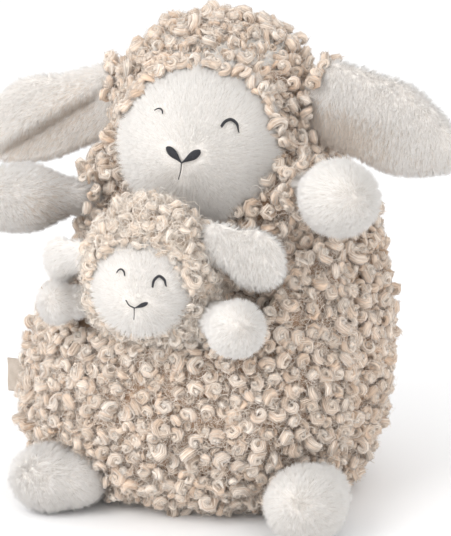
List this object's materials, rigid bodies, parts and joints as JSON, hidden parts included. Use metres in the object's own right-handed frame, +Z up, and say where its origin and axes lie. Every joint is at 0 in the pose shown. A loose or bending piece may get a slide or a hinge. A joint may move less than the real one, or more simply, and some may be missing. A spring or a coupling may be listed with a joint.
{
  "type": "plush sheep toy",
  "caption": "Sitting curly plush mother sheep with a white face, long drooping ears and round paws, holding a small lamb in a belly pouch.",
  "frame": {"origin": "centre of the flat base that the toy sits on, at floor height", "axes": "+Z up, -Y the way the sheep looks, +X the sheep's own left side"},
  "size_m": [0.3155, 0.2292, 0.283],
  "materials": {
    "boucle_plush": "oatmeal curly boucle pile, matte",
    "white_plush": "off-white short plush pile, soft and matte",
    "base_cloth": "plain oatmeal short-pile cloth",
    "lining_cloth": "plain smooth lining cloth",
    "bag_cloth": "thin plain woven cotton",
    "fibre_fill": "loose white polyester fibre",
    "plastic_pellets": "small white plastic pellets",
    "embroidery_thread": "charcoal satin-stitched thread",
    "woven_label": "woven beige tape, left blank"
  },
  "bodies": {
    "mother_body": {"back_panel": "boucle_plush", "front_panel": "boucle_plush", "base_panel": "base_cloth", "pouch_panel": "boucle_plush", "pouch_lining": "lining_cloth", "body_stuffing": "fibre_fill", "pellet_bag": "bag_cloth", "pellet_fill": "plastic_pellets", "face_panel": "white_plush", "eye_embroidery_left": "embroidery_thread", "eye_embroidery_right": "embroidery_thread", "nose_embroidery": "embroidery_thread", "mouth_embroidery": "embroidery_thread", "side_label": "woven_label"},
    "ear_left": {"ear_left_cover": "white_plush", "ear_left_stuffing": "fibre_fill"},
    "ear_right": {"ear_right_cover": "white_plush", "ear_right_stuffing": "fibre_fill"},
    "arm_left": {"arm_left_cover": "white_plush", "arm_left_stuffing": "fibre_fill"},
    "arm_right": {"arm_right_cover": "white_plush", "arm_right_stuffing": "fibre_fill"},
    "foot_left": {"foot_left_cover": "white_plush", "foot_left_stuffing": "fibre_fill"},
    "foot_right": {"foot_right_cover": "white_plush", "foot_right_stuffing": "fibre_fill"},
    "lamb_body": {"baby_cover_back": "boucle_plush", "baby_cover_front": "boucle_plush", "baby_stuffing": "fibre_fill", "baby_face_panel": "white_plush", "baby_eye_embroidery_left": "embroidery_thread", "baby_eye_embroidery_right": "embroidery_thread", "baby_nose_embroidery": "embroidery_thread", "baby_mouth_embroidery": "embroidery_thread", "baby_foot_left_cover": "white_plush", "baby_foot_left_stuffing": "fibre_fill", "baby_foot_right_cover": "white_plush", "baby_foot_right_stuffing": "fibre_fill"},
    "baby_ear_left": {"baby_ear_left_cover": "white_plush", "baby_ear_left_stuffing": "fibre_fill"},
    "baby_ear_right": {"baby_ear_right_cover": "white_plush", "baby_ear_right_stuffing": "fibre_fill"},
    "baby_arm_left": {"baby_arm_left_cover": "white_plush", "baby_arm_left_stuffing": "fibre_fill"},
    "baby_arm_right": {"baby_arm_right_cover": "white_plush", "baby_arm_right_stuffing": "fibre_fill"}
  },
  "joints": [
    {"name": "ear_left_swing", "type": "hinge", "parent": "mother_body", "child": "ear_left", "pos_m": [0.092, 0.005, 0.23], "axis": [0, -1, 0], "range_deg": [-25, 35], "stiffness_Nm_per_rad": 0.3},
    {"name": "ear_right_swing", "type": "hinge", "parent": "mother_body", "child": "ear_right", "pos_m": [-0.0855, 0.005, 0.2219], "axis": [0, 1, 0], "range_deg": [-25, 35], "stiffness_Nm_per_rad": 0.3},
    {"name": "arm_left_swing", "type": "hinge", "parent": "mother_body", "child": "arm_left", "pos_m": [0.0684, -0.0403, 0.1964], "axis": [-0.6, -0.8, 0], "range_deg": [-30, 30], "stiffness_Nm_per_rad": 0.3},
    {"name": "arm_right_swing", "type": "hinge", "parent": "mother_body", "child": "arm_right", "pos_m": [-0.0586, -0.044, 0.1787], "axis": [-0.5708, 0.8211, 0], "range_deg": [-30, 30], "stiffness_Nm_per_rad": 0.3},
    {"name": "foot_left_lift", "type": "hinge", "parent": "mother_body", "child": "foot_left", "pos_m": [0.094, -0.0635, 0.021], "axis": [-0.9982, 0.0605, 0], "range_deg": [0, 25]},
    {"name": "foot_right_lift", "type": "hinge", "parent": "mother_body", "child": "foot_right", "pos_m": [-0.05, -0.0885, 0.02], "axis": [-0.3697, 0.9292, 0], "range_deg": [0, 20]},
    {"name": "baby_slide", "type": "slide", "parent": "mother_body", "child": "lamb_body", "axis": [0, -0.1392, 0.9903], "range_m": [0, 0.1]},
    {"name": "baby_ear_left_swing", "type": "hinge", "parent": "lamb_body", "child": "baby_ear_left", "pos_m": [0.051, -0.096, 0.169], "axis": [0, -1, 0], "range_deg": [-20, 30], "stiffness_Nm_per_rad": 0.1},
    {"name": "baby_ear_right_swing", "type": "hinge", "parent": "lamb_body", "child": "baby_ear_right", "pos_m": [-0.0436, -0.093, 0.154], "axis": [0.4388, 0.8986, 0], "range_deg": [-20, 30], "stiffness_Nm_per_rad": 0.1},
    {"name": "baby_arm_left_swing", "type": "hinge", "parent": "lamb_body", "child": "baby_arm_left", "pos_m": [0.05, -0.104, 0.129], "axis": [-0.5708, -0.8211, 0], "range_deg": [-5, 30], "stiffness_Nm_per_rad": 0.1},
    {"name": "baby_arm_right_swing", "type": "hinge", "parent": "lamb_body", "child": "baby_arm_right", "pos_m": [-0.042, -0.101, 0.13], "axis": [-0.5219, 0.853, 0], "range_deg": [-5, 30], "stiffness_Nm_per_rad": 0.1}
  ]
}
